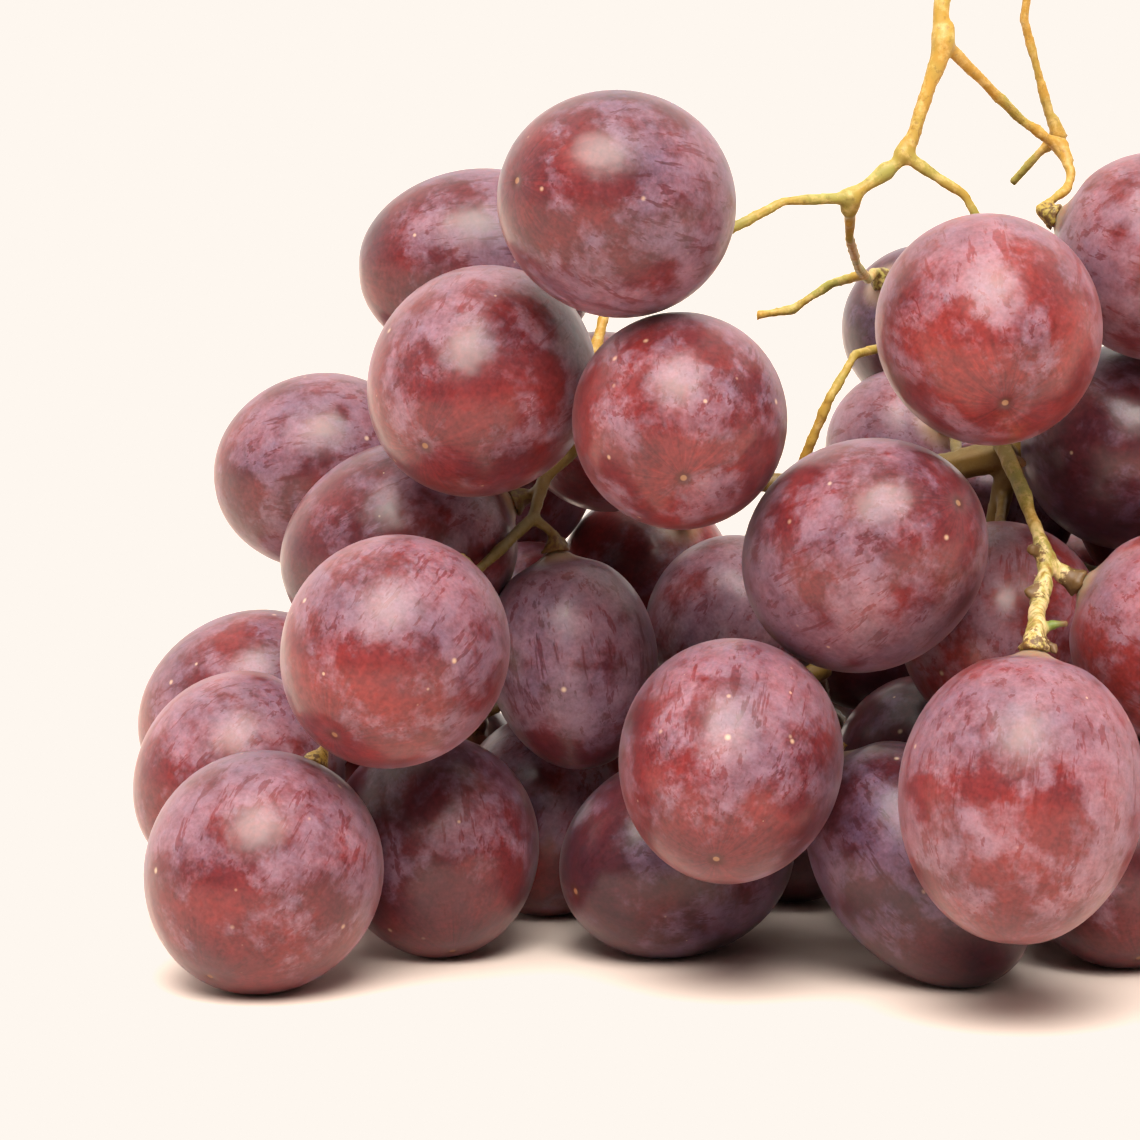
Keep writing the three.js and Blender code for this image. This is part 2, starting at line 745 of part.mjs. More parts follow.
function loft(rings) {
  const positions = [];
  const indices = [];
  const side = new THREE.Vector3();
  const along = new THREE.Vector3();
  rings.forEach(({ point }, index) => {
    const before = rings[Math.max(0, index - 1)].point;
    const after = rings[Math.min(rings.length - 1, index + 1)].point;
    along.subVectors(after, before).normalize();
    if (index === 0) {
      side.crossVectors(along, Math.abs(along.z) < NEARLY_UPRIGHT ? UP : SIDEWAYS).normalize();
    } else {
      side.addScaledVector(along, -side.dot(along)).normalize();
    }
    const other = along.clone().cross(side);
    for (let step = 0; step < WOOD_SIDES; step += 1) {
      const angle = (2 * Math.PI * step) / WOOD_SIDES;
      const corner = point.clone()
        .addScaledVector(side, rings[index].radius * Math.cos(angle))
        .addScaledVector(other, rings[index].radius * Math.sin(angle));
      positions.push(...corner.toArray());
    }
  });
  for (let index = 0; index + 1 < rings.length; index += 1) {
    for (let step = 0; step < WOOD_SIDES; step += 1) {
      const here = index * WOOD_SIDES + step;
      const beside = index * WOOD_SIDES + ((step + 1) % WOOD_SIDES);
      indices.push(here, beside, beside + WOOD_SIDES, here, beside + WOOD_SIDES, here + WOOD_SIDES);
    }
  }
  const last = (rings.length - 1) * WOOD_SIDES;
  for (let step = 1; step + 1 < WOOD_SIDES; step += 1) {
    indices.push(0, step + 1, step, last, last + step, last + step + 1);
  }
  const geometry = new THREE.BufferGeometry();
  geometry.setAttribute('position', new THREE.BufferAttribute(new Float32Array(positions), 3));
  geometry.setIndex(indices);
  return toManifold(geometry);
}

function chainSolid(chain) {
  const rings = chain.map((knot) => ({ point: knot.point, radius: knot.radius }));
  rings[0].radius = Math.min(rings[0].radius, ROOT_SWELLING * rings[1].radius);
  const { end } = chain[chain.length - 1];
  if (end !== null) {
    rings.push({ point: stemFoot(end, STALK_GAP), radius: DISC_RADIUS });
  }
  return loft(rings);
}

function stalkSolid(grapes, tree) {
  const wood = wasm.Manifold.union(woodChains(tree).map(chainSolid));
  const room = wasm.Manifold.union(grapes.map((grape) => toManifold(grapeGeometry(grape, STALK_GAP))));
  const bodies = wood.subtract(room).decompose();
  bodies.sort((first, second) => second.volume() - first.volume());
  return bodies[0];
}

// Put the bunch together
const tree = framework();
const frontGrapes = FRONT_GRAPES.map((grape) => makeGrape(grape, true));
const grapes = [...frontGrapes, ...ruleGrapes(frontGrapes, tree)];
settle(grapes, tree, SETTLING_ROUNDS, DRAWN_IN_UNTIL);
const firstRoom = new Room(grapes);
firstRoom.spreadFrom(tree);
grapes
  .filter((grape, index) => !tree.carriers.has(index))
  .forEach((grape) => turnStemEnd(grape, firstRoom));
settle(grapes, tree, SETTLING_ROUNDS, 0);
const room = new Room(grapes);
room.spreadFrom(tree);
growPedicels(grapes, tree, room);
loadWood(tree);
easeWood(tree, grapes);

const stalkMaterial = new THREE.MeshStandardMaterial({ color: 0xb58a3c, roughness: 0.7, metalness: 0 });
const GRAPE_COLOURS = [0x8e3f4f, 0x7d3547, 0x9c4652, 0x6c3350, 0x84404f];

const group = new THREE.Group();
const stalk = new THREE.Mesh(toGeometry(stalkSolid(grapes, tree)), stalkMaterial);
stalk.name = 'stalk';
group.add(stalk);

grapes.forEach((grape, index) => {
  const color = GRAPE_COLOURS[index % GRAPE_COLOURS.length];
  const material = new THREE.MeshStandardMaterial({ color, roughness: 0.42, metalness: 0 });
  const mesh = new THREE.Mesh(toGeometry(grapeSolid(grape)), material);
  mesh.name = `grape_${String(index + 1).padStart(2, '0')}`;
  group.add(mesh);
});

// The origin goes under the middle of the bunch, on the surface
const middle = new THREE.Box3().setFromObject(group).getCenter(new THREE.Vector3());
group.position.set(-middle.x, -middle.y, 0);

export default group;
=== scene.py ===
# %% [markdown]
# # A bunch of red table grapes
# The bunch lies on a pale surface, with its cut stalk standing up at the back. The solids of the
# model are already in place as a frame. Every grape and the stalk come in as plain faceted
# meshes in metres, and this lesson builds a finer piece over each of them and gives it its skin.

import math
import random

import bmesh
import bpy
import numpy as np
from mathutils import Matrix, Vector, kdtree, noise


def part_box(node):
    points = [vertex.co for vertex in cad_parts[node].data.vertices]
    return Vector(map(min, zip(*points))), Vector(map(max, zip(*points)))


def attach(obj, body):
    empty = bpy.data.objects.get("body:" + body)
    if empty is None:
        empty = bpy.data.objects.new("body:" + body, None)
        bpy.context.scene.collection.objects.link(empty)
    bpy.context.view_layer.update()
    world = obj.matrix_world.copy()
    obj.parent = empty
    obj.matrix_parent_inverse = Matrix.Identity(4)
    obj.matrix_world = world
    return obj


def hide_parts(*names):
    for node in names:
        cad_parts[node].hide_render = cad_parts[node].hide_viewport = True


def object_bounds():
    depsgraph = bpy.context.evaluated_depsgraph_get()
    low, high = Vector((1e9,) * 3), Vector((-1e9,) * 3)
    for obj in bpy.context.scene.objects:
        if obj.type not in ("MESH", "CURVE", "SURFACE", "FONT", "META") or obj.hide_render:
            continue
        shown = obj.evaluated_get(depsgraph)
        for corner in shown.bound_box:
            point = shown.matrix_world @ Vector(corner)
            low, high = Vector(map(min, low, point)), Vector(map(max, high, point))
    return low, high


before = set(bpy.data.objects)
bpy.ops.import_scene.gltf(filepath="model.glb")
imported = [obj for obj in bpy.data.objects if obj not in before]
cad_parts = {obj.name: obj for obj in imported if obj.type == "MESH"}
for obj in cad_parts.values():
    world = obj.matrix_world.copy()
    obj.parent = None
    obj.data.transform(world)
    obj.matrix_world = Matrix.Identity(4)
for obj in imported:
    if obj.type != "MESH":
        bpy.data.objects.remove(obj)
solid_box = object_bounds()
MM = 0.001
grape_nodes = sorted(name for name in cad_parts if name.startswith("grape_"))
print(len(grape_nodes), "grapes; the box is", [round(v / MM, 1) for v in solid_box[1] - solid_box[0]], "mm")

# %% [markdown]
# ## The camera
# The photograph was taken from close by with a long lens, a little above the grapes and looking
# slightly down. The upper left grape is the anchor: the camera's place is given from its middle,
# so the view stays right if the whole bunch is centred anew.

# %% Camera
LOOK_DOWN = math.radians(6.9)
FOCAL_WIDTHS = 4000 / 1140  # focal length against the width of the picture
SENSOR = 36
CAMERA_HEIGHT = 95 * MM
CAMERA_FROM_ANCHOR = Vector((-4.7, -418)) * MM

anchor_low, anchor_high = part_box("grape_01")
anchor = (anchor_low + anchor_high) / 2
camera_data = bpy.data.cameras.new("camera")
camera_data.sensor_fit = "HORIZONTAL"
camera_data.sensor_width = SENSOR
camera_data.lens = SENSOR * FOCAL_WIDTHS
camera_data.clip_start = 10 * MM
camera_data.clip_end = 100
camera = bpy.data.objects.new("camera", camera_data)
camera.location = (
    anchor.x + CAMERA_FROM_ANCHOR.x,
    anchor.y + CAMERA_FROM_ANCHOR.y,
    CAMERA_HEIGHT,
)
camera.rotation_euler = (math.radians(90) - LOOK_DOWN, 0, 0)
bpy.context.scene.collection.objects.link(camera)
bpy.context.scene.camera = camera
print("camera at", [round(v / MM, 1) for v in camera.location], "mm, lens", round(camera_data.lens, 1))

# %% [markdown]
# ## Colours and nodes
# Colours are written as on a screen, as sRGB hex values, and one function turns them into the
# linear values that light adds up in. One more function adds a shader node with its settings
# and links, so that each material reads as a list of what it is made of.


# %% Helpers for materials
def linear(hex_colour):
    """A screen colour such as #A64A3E as linear red, green, blue and a full alpha."""
    values = [int(hex_colour[i : i + 2], 16) / 255 for i in (1, 3, 5)]
    return [v / 12.92 if v <= 0.04045 else ((v + 0.055) / 1.055) ** 2.4 for v in values] + [1.0]


def add(tree, kind, inputs=None, **settings):
    """Adds a node. Each input is a value, or the output of another node, which gets linked."""
    node = tree.nodes.new(kind)
    for name, value in settings.items():
        setattr(node, name, value)
    for key, value in (inputs or {}).items():
        if isinstance(value, bpy.types.NodeSocket):
            tree.links.new(value, node.inputs[key])
        else:
            node.inputs[key].default_value = value
    return node


def new_material(name):
    """An empty material and its node tree."""
    material = bpy.data.materials.new(name)
    material.use_nodes = True
    material.node_tree.nodes.clear()
    return material, material.node_tree


# %% [markdown]
# ## The light
# The picture is high key. Behind the bunch is a brightly lit white wall, above it a pale
# ceiling, and high in front one large soft window, which gives each grape its broad, dull
# highlight above the middle. The camera's side of the room is dark, so the middle of a grape
# mirrors little and shows its own colour. All of this is painted into the world, so a flat
# floor is lit the same everywhere.

# %% World
CREAM = "#FEF7EF"
WINDOW_TOWARDS = Vector((-0.06, -0.56, 0.83)).normalized()  # from the bunch to the window's middle
WINDOW_EDGE = math.cos(math.radians(28))
WINDOW_CORE = math.cos(math.radians(11))
WINDOW_LIGHT = 13.5
WALL_LIGHT = 1.4
WALL_FROM, WALL_FULL = -0.75, 0.65  # how far back a direction points where the wall starts and is full
CEILING_LIGHT = 0.7
CEILING_FROM, CEILING_FULL = 0.35, 0.9  # the same for the ceiling, with how far up
DARK_SIDE_LIGHT = 0.10
BACKDROP_LIGHT = 1.2  # what the camera sees behind the bunch, just over white

world = bpy.data.worlds.new("soft_studio")
world.use_nodes = True
bpy.context.scene.world = world
sky = world.node_tree
sky.nodes.clear()
towards = add(sky, "ShaderNodeTexCoord").outputs["Generated"]
facing = add(
    sky, "ShaderNodeVectorMath", {0: towards, 1: WINDOW_TOWARDS}, operation="DOT_PRODUCT"
).outputs["Value"]
window = add(
    sky,
    "ShaderNodeMapRange",
    {"Value": facing, "From Min": WINDOW_EDGE, "From Max": WINDOW_CORE, "To Max": WINDOW_LIGHT},
    interpolation_type="SMOOTHSTEP",
).outputs["Result"]
axes = add(sky, "ShaderNodeSeparateXYZ", {0: towards}).outputs
wall = add(
    sky,
    "ShaderNodeMapRange",
    {
        "Value": axes["Y"],
        "From Min": WALL_FROM,
        "From Max": WALL_FULL,
        "To Min": DARK_SIDE_LIGHT,
        "To Max": WALL_LIGHT,
    },
    interpolation_type="SMOOTHSTEP",
).outputs["Result"]
ceiling = add(
    sky,
    "ShaderNodeMapRange",
    {"Value": axes["Z"], "From Min": CEILING_FROM, "From Max": CEILING_FULL, "To Max": CEILING_LIGHT},
).outputs["Result"]
room = add(sky, "ShaderNodeMath", {0: wall, 1: ceiling}, operation="MAXIMUM").outputs[0]
strength = add(sky, "ShaderNodeMath", {0: window, 1: room}, operation="ADD").outputs[0]
lit = add(sky, "ShaderNodeBackground", {"Color": (1, 1, 1, 1), "Strength": strength})
seen = add(sky, "ShaderNodeBackground", {"Color": (1, 1, 1, 1), "Strength": BACKDROP_LIGHT})
is_camera = add(sky, "ShaderNodeLightPath").outputs["Is Camera Ray"]
mixed = add(sky, "ShaderNodeMixShader", {0: is_camera, 1: lit.outputs[0], 2: seen.outputs[0]})
add(sky, "ShaderNodeOutputWorld", {"Surface": mixed.outputs[0]})
print("window", WINDOW_LIGHT, "wall", WALL_LIGHT, "ceiling", CEILING_LIGHT)

# %% [markdown]
# ## Overexposed on purpose
# In a high-key picture the paper behind and below the subject gets more light than the film can
# hold. It clips to one flat tone and only the darkest shadows stay. The view does the same
# here: everything above white is cut off, and white itself is toned to a warm cream.

# %% View
view = bpy.context.scene.view_settings
view.view_transform = "Standard"
view.use_curve_mapping = True
curves = view.curve_mapping
curves.extend = "HORIZONTAL"
for curve, top in zip(curves.curves, linear(CREAM)):
    curve.points[1].location = (1.0, top)
curves.update()
print("white is shown as", CREAM)

# %% [markdown]
# ## The floor
# The surface is smooth, matt and pale, a warm white paper. In the open it clips like the
# background, and it only shows in the soft shadows that the grapes leave on it, where its
# warmth comes out.

# %% Floor
FLOOR_HALF = 6.0
WARM_PAPER = "#F4E5DA"
floor_mesh = bpy.data.meshes.new("floor")
corners = [(-1, -1), (1, -1), (1, 1), (-1, 1)]
floor_mesh.from_pydata([(x * FLOOR_HALF, y * FLOOR_HALF, 0) for x, y in corners], [], [(0, 1, 2, 3)])
floor = bpy.data.objects.new("floor", floor_mesh)
bpy.context.scene.collection.objects.link(floor)
material, tree = new_material("matt_warm_paper")
paper = add(tree, "ShaderNodeBsdfDiffuse", {"Color": linear(WARM_PAPER)})
add(tree, "ShaderNodeOutputMaterial", {"Surface": paper.outputs[0]})
floor_mesh.materials.append(material)
print("floor", 2 * FLOOR_HALF, "m across")

# %% [markdown]
# ## Reading the grapes
# A grape hangs on its pedicel by one end and has a small scar, where the flower's style sat, at
# the other. The faceted solid doesn't say which end is which. So an ellipsoid is fitted through
# its corners, which gives its middle, its long axis and its sizes, and the end that has the
# stalk's disc in front of it is the stem end.


# %% Measure each grape
FACET_SWELL = 1.01  # the faceted solid is this much larger than the skin
FLAT_BELOW = 0.2 * MM
FIT_UNIT = 10 * MM  # keeps the numbers of the fit near one


def corners_of(node):
    """The different corners of a CAD node, as an array of points."""
    points = np.array([v.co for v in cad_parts[node].data.vertices])
    return np.unique(np.round(points, 6), axis=0)


stalk_corners = corners_of("stalk")
stalk_tree = kdtree.KDTree(len(stalk_corners))
for index, corner in enumerate(stalk_corners):
    stalk_tree.insert(corner, index)
stalk_tree.balance()


def measure(node):
    """Fits an ellipsoid of revolution: middle, axis towards the stem, length and width."""
    points = corners_of(node)
    points = points[points[:, 2] > FLAT_BELOW]
    shift = points.mean(0)
    x, y, z = ((points - shift) / FIT_UNIT).T
    terms = np.stack([x * x, y * y, z * z, 2 * x * y, 2 * x * z, 2 * y * z, 2 * x, 2 * y, 2 * z], 1)
    a = np.linalg.lstsq(terms, np.ones(len(x)), rcond=None)[0]
    form = np.array([[a[0], a[3], a[4]], [a[3], a[1], a[5]], [a[4], a[5], a[2]]])
    middle = -np.linalg.solve(form, a[6:9])
    form = form / (1 + middle @ form @ middle)
    values, vectors = np.linalg.eigh(form)
    halves = FIT_UNIT / np.sqrt(values)
    axis = Vector(vectors[:, 0])
    middle = Vector(middle * FIT_UNIT + shift)
    long, wide = 2 * halves[0] / FACET_SWELL, (halves[1] + halves[2]) / FACET_SWELL
    reach = {sign: stalk_tree.find(middle + sign * axis * long / 2)[2] for sign in (1, -1)}
    sign = min(reach, key=reach.get)
    return {"middle": middle, "axis": sign * axis, "long": long, "wide": wide, "reach": reach[sign]}


measures = {node: measure(node) for node in grape_nodes}
print("longest", round(max(m["long"] for m in measures.values()) / MM, 1), "mm")
print("farthest disc", round(max(m["reach"] for m in measures.values()) / MM, 1), "mm from its grape")

# %% [markdown]
# ## The shape of a grape
# A grape is a smooth ovoid, but no two are alike. It is turned like a pot: rings run from the
# stem end to the tip, closer together at both ends, where the small forms are. At the stem end
# the skin dips and then rises to the disc. At the tip there is the scar, a tiny pit in a
# shallow dimple. A slow seeded noise takes away the perfect roundness. Grapes that carry
# weight are pressed flat where they touch the floor.

# %% Turn one grape
RINGS = 46
SIDES = 72
EVEN_SHARE = 0.5  # of the rings, against those that crowd to the ends
STEM_FULLNESS = 0.04
UNEVEN = 0.012
UNEVEN_PER_METRE = 55.0  # one swell or hollow about every 18 mm
OWN_SHAPE = (7.1, 3.7, 5.3)  # moves each grape to its own part of the noise
COLLAR_HEIGHT, COLLAR_RADIUS = 0.42 * MM, 1.5 * MM
DIP_DEPTH, DIP_RADIUS, DIP_WIDTH = 0.30 * MM, 3.2 * MM, 1.5 * MM
SCAR_DEPTH, SCAR_RADIUS = 0.16 * MM, 0.45 * MM
TIP_DEPTH, TIP_RADIUS = 0.14 * MM, 2.4 * MM


def grape_points(measured, seed):
    """Points of the skin in the grape's own space, stem end up, with their ring and side."""
    half_long, half_wide = measured["long"] / 2, measured["wide"] / 2
    offset = Vector([seed * move for move in OWN_SHAPE])
    rows = []
    for ring in range(RINGS + 1):
        share = ring / RINGS
        angle = math.pi * (EVEN_SHARE * share + (1 - EVEN_SHARE) * (1 - math.cos(math.pi * share)) / 2)
        up, out = math.cos(angle), math.sin(angle)
        radius = half_wide * out * (1 + STEM_FULLNESS * up)
        lift = 0.0
        if up > 0:
            lift += COLLAR_HEIGHT * math.exp(-((radius / COLLAR_RADIUS) ** 4))
            lift -= DIP_DEPTH * math.exp(-(((radius - DIP_RADIUS) / DIP_WIDTH) ** 2))
        else:
            lift += SCAR_DEPTH * math.exp(-((radius / SCAR_RADIUS) ** 2))
            lift += TIP_DEPTH * math.exp(-((radius / TIP_RADIUS) ** 2))
        row = []
        for side in range(SIDES if 0 < ring < RINGS else 1):
            turn = 2 * math.pi * side / SIDES
            point = Vector((radius * math.cos(turn), radius * math.sin(turn), half_long * up))
            swell = 1 + UNEVEN * noise.noise(point * UNEVEN_PER_METRE + offset) * out
            row.append(Vector((point.x * swell, point.y * swell, point.z * swell + lift)))
        rows.append(row)
    return rows


def grape_mesh(name, measured, seed):
    """The skin as a closed mesh where the grape hangs. Each point keeps its place in the
    upright grape and its distance from the tip and the stem, all in mm."""
    rows = grape_points(measured, seed)
    points = [point for row in rows for point in row]
    turn = Vector((0, 0, 1)).rotation_difference(measured["axis"])
    hung = [turn @ point + measured["middle"] for point in points]
    hung = [Vector((point.x, point.y, max(point.z, 0.0))) for point in hung]
    faces = []
    first = 1
    for side in range(SIDES):
        faces.append((0, first + side, first + (side + 1) % SIDES))
    for ring in range(1, RINGS - 1):
        start = 1 + (ring - 1) * SIDES
        for side in range(SIDES):
            beside = (side + 1) % SIDES
            faces.append((start + side, start + SIDES + side, start + SIDES + beside, start + beside))
    start, last = 1 + (RINGS - 2) * SIDES, len(points) - 1
    for side in range(SIDES):
        faces.append((last, start + (side + 1) % SIDES, start + side))
    mesh = bpy.data.meshes.new(name)
    mesh.from_pydata(hung, [], faces)
    mesh.shade_smooth()
    upright = [value / MM for point in points for value in point]
    mesh.attributes.new("upright", "FLOAT_VECTOR", "POINT").data.foreach_set("vector", upright)
    stem, tip = points[0], points[-1]
    for attribute, end in (("from_stem", stem), ("from_tip", tip)):
        values = [(point - end).length / MM for point in points]
        mesh.attributes.new(attribute, "FLOAT", "POINT").data.foreach_set("value", values)
    return mesh


# %% [markdown]
# ## The skin
# Grape skin is a thin, tinted and slightly see-through film over wet flesh, so light goes in
# and comes out red. It could be painted as a picture, but a picture would show its seam and
# would be the same on every grape, so the skin is built of nodes, layer on layer, in the next
# cells. Each grape carries its own four values: how deep its colour is, how much bloom it kept,
# how bright a red it has, and a number of its own that moves the patterns. Lengths are
# millimetres in the upright grape, so that each pattern can be given in its real size.

# %% What each grape carries
skin, tree = new_material("waxy_grape_skin")
own_values = add(tree, "ShaderNodeAttribute", attribute_name="character")
parts = add(tree, "ShaderNodeSeparateColor", {0: own_values.outputs["Color"]})
deep, bloom, bright = parts.outputs["Red"], parts.outputs["Green"], parts.outputs["Blue"]
own = own_values.outputs["Alpha"]
from_tip = add(tree, "ShaderNodeAttribute", attribute_name="from_tip").outputs["Fac"]
from_stem = add(tree, "ShaderNodeAttribute", attribute_name="from_stem").outputs["Fac"]

in_mm = add(tree, "ShaderNodeAttribute", attribute_name="upright").outputs["Vector"]
FAR_APART = (570, 310, 830)  # each grape looks into its own part of the noise
shift = add(tree, "ShaderNodeVectorMath", {0: FAR_APART, "Scale": own}, operation="SCALE").outputs[0]
place = add(tree, "ShaderNodeVectorMath", {0: in_mm, 1: shift}, operation="ADD").outputs[0]
print("the skin reads", [node.attribute_name for node in tree.nodes if node.type == "ATTRIBUTE"])

# %% [markdown]
# The pigment grows in broad clouds of darker and clearer skin, about 9 mm apart. The same noise
# darkens the purple and takes the bright red away, so that the two never meet in one place.

# %% Pigment
CLEAR_RED = "#82251E"
WINE = "#5E1A21"
DEEP_PURPLE = "#381219"
CLOUD_MM = 9
CLOUD_PUSH = 0.32

clouds = add(
    tree,
    "ShaderNodeTexNoise",
    {"Vector": place, "Scale": 1 / CLOUD_MM, "Detail": 4.0, "Roughness": 0.62, "Distortion": 0.15},
).outputs["Fac"]
cloud_push = add(
    tree,
    "ShaderNodeMapRange",
    {"Value": clouds, "From Min": 0.3, "From Max": 0.7, "To Min": -CLOUD_PUSH, "To Max": CLOUD_PUSH},
).outputs["Result"]
deepness = add(tree, "ShaderNodeMath", {0: deep, 1: cloud_push}, operation="ADD", use_clamp=True).outputs[0]
red_part = add(
    tree, "ShaderNodeMath", {0: bright, 1: cloud_push}, operation="SUBTRACT", use_clamp=True
).outputs[0]
ripe = add(
    tree, "ShaderNodeMix", {0: red_part, 6: linear(WINE), 7: linear(CLEAR_RED)}, data_type="RGBA"
).outputs[2]
pigment = add(
    tree, "ShaderNodeMix", {0: deepness, 6: ripe, 7: linear(DEEP_PURPLE)}, data_type="RGBA"
).outputs[2]

print("pigment from", WINE, "and", CLEAR_RED, "to", DEEP_PURPLE)

# %% [markdown]
# Close up, the pigment sits in cells and looks grainy. Real cells are far too fine to show, so
# the speckle is drawn coarser than life, at about half a millimetre. Fine streaks run out from
# the tip like meridians: noise that changes fast around the grape and slowly along it.

# %% Speckle and streaks
SPECKLE_MM = 0.55
STREAKS_AROUND = 11.0  # how fast the noise changes around the grape
STREAKS_ALONG = 0.16  # and for each millimetre along it
STREAK_REACH_MM = 13.0

speckle = add(
    tree, "ShaderNodeTexNoise", {"Vector": place, "Scale": 1 / SPECKLE_MM, "Detail": 1.0, "Roughness": 0.7}
).outputs["Fac"]
speckle_light = add(
    tree,
    "ShaderNodeMapRange",
    {"Value": speckle, "From Min": 0.3, "From Max": 0.7, "To Min": 0.80, "To Max": 1.22},
).outputs["Result"]
axes = add(tree, "ShaderNodeSeparateXYZ", {0: in_mm})
flat_place = add(tree, "ShaderNodeCombineXYZ", {0: axes.outputs["X"], 1: axes.outputs["Y"]}).outputs[0]
around = add(tree, "ShaderNodeVectorMath", {0: flat_place}, operation="NORMALIZE").outputs[0]
around = add(
    tree, "ShaderNodeVectorMath", {0: around, "Scale": STREAKS_AROUND}, operation="SCALE"
).outputs[0]
slow_height = add(
    tree, "ShaderNodeMath", {0: axes.outputs["Z"], 1: STREAKS_ALONG}, operation="MULTIPLY"
).outputs[0]
lift = add(tree, "ShaderNodeCombineXYZ", {2: slow_height}).outputs[0]
around = add(tree, "ShaderNodeVectorMath", {0: around, 1: lift}, operation="ADD").outputs[0]
around = add(tree, "ShaderNodeVectorMath", {0: around, 1: shift}, operation="ADD").outputs[0]
streaks = add(
    tree, "ShaderNodeTexNoise", {"Vector": around, "Scale": 1.0, "Detail": 3.0, "Roughness": 0.7}
).outputs["Fac"]
near_tip = add(
    tree,
    "ShaderNodeMapRange",
    {"Value": from_tip, "From Min": STREAK_REACH_MM, "From Max": 2.0},
    interpolation_type="SMOOTHSTEP",
).outputs["Result"]
streak_span = add(
    tree,
    "ShaderNodeMapRange",
    {"Value": streaks, "From Min": 0.33, "From Max": 0.67, "To Min": -0.28, "To Max": 0.28},
).outputs["Result"]
streak_light = add(
    tree, "ShaderNodeMath", {0: streak_span, 1: near_tip, 2: 1.0}, operation="MULTIPLY_ADD"
).outputs[0]
grain = add(tree, "ShaderNodeMath", {0: speckle_light, 1: streak_light}, operation="MULTIPLY").outputs[0]
grained = add(
    tree, "ShaderNodeVectorMath", {0: pigment, "Scale": grain}, operation="SCALE"
).outputs[0]

print("streaks reach", STREAK_REACH_MM, "mm from the tip")

# %% [markdown]
# On the skin lies bloom, a dull whitish wax that the berry grows. It gives the lavender veil and
# the broad soft shine, and it is rubbed off where the grapes touched, which leaves clear patches
# with ragged edges. A grape with more bloom has the edge of its patches lower in the noise. A
# mottle, a fine powdery grain and thin rub marks thin the wax where it lies.

# %% Bloom
BLOOM_WAX = "#B095A7"
BLOOM_ON_DEEP = "#7A6284"
PATCH_MM = 7.5
MOTTLE_MM = 2.2
POWDER_MM = 0.32
EDGE_SOFTNESS = 0.16
WAX_COVER = 0.6  # how much of the skin's own colour the thickest wax hides

patches = add(
    tree,
    "ShaderNodeTexNoise",
    {"Vector": place, "Scale": 1 / PATCH_MM, "Detail": 5.0, "Roughness": 0.66, "Distortion": 0.15},
).outputs["Fac"]
low_edge = add(
    tree, "ShaderNodeMapRange", {"Value": bloom, "To Min": 0.62, "To Max": 0.28}
).outputs["Result"]
tip_wear = add(
    tree,
    "ShaderNodeMapRange",
    {"Value": from_tip, "From Min": 3.0, "From Max": 22.0, "To Min": 0.09, "To Max": -0.09},
).outputs["Result"]
low_edge = add(tree, "ShaderNodeMath", {0: low_edge, 1: tip_wear}, operation="ADD").outputs[0]
high_edge = add(tree, "ShaderNodeMath", {0: low_edge, 1: EDGE_SOFTNESS}, operation="ADD").outputs[0]
patch_mask = add(
    tree,
    "ShaderNodeMapRange",
    {"Value": patches, "From Min": low_edge, "From Max": high_edge},
    interpolation_type="SMOOTHSTEP",
).outputs["Result"]
mottle = add(
    tree, "ShaderNodeTexNoise", {"Vector": place, "Scale": 1 / MOTTLE_MM, "Detail": 4.0, "Roughness": 0.7}
).outputs["Fac"]
mottle_mask = add(
    tree,
    "ShaderNodeMapRange",
    {"Value": mottle, "From Min": 0.35, "From Max": 0.62, "To Min": 0.55, "To Max": 1.1},
).outputs["Result"]
powder = add(
    tree, "ShaderNodeTexNoise", {"Vector": place, "Scale": 1 / POWDER_MM, "Detail": 1.0, "Roughness": 0.6}
).outputs["Fac"]
powder_mask = add(
    tree,
    "ShaderNodeMapRange",
    {"Value": powder, "From Min": 0.3, "From Max": 0.7, "To Min": 0.78, "To Max": 1.0},
).outputs["Result"]
stretched = add(
    tree, "ShaderNodeMapping", {"Vector": place, "Rotation": (0.5, 0.9, 0.3), "Scale": (1.3, 1.3, 0.22)}
).outputs[0]
rubs = add(
    tree,
    "ShaderNodeTexNoise",
    {"Vector": stretched, "Scale": 0.7, "Detail": 3.0, "Roughness": 0.7, "Distortion": 0.3},
).outputs["Fac"]
rub_mask = add(
    tree,
    "ShaderNodeMapRange",
    {"Value": rubs, "From Min": 0.55, "From Max": 0.62, "To Min": 1.0, "To Max": 0.35},
    interpolation_type="SMOOTHSTEP",
).outputs["Result"]
film = add(
    tree, "ShaderNodeMapRange", {"Value": patch_mask, "To Min": 0.08, "To Max": 0.85}
).outputs["Result"]
for thinning in (mottle_mask, powder_mask, rub_mask):
    film = add(tree, "ShaderNodeMath", {0: film, 1: thinning}, operation="MULTIPLY").outputs[0]
wax = add(
    tree, "ShaderNodeMix", {0: deepness, 6: linear(BLOOM_WAX), 7: linear(BLOOM_ON_DEEP)}, data_type="RGBA"
).outputs[2]
film_cover = add(tree, "ShaderNodeMath", {0: film, 1: WAX_COVER}, operation="MULTIPLY").outputs[0]
veiled = add(tree, "ShaderNodeMix", {0: film_cover, 6: grained, 7: wax}, data_type="RGBA").outputs[2]

print("bloom of", BLOOM_WAX, "in patches of about", PATCH_MM, "mm")

# %% [markdown]
# Small pale corky dots, the lenticels, are strewn over the skin, a few millimetres apart and up
# to half a millimetre in radius. A Voronoi pattern has one middle in each cell, and a random
# value of the cell sets the dot's radius. Under a limit there is no dot, and the limit differs
# from grape to grape, so that some have many dots and others few.

# %% Lenticels
CORK = "#DDBF9E"
LENTICEL_STEP = 3.4
LARGEST_LENTICEL = 0.46
LENTICEL_COVER = 0.7

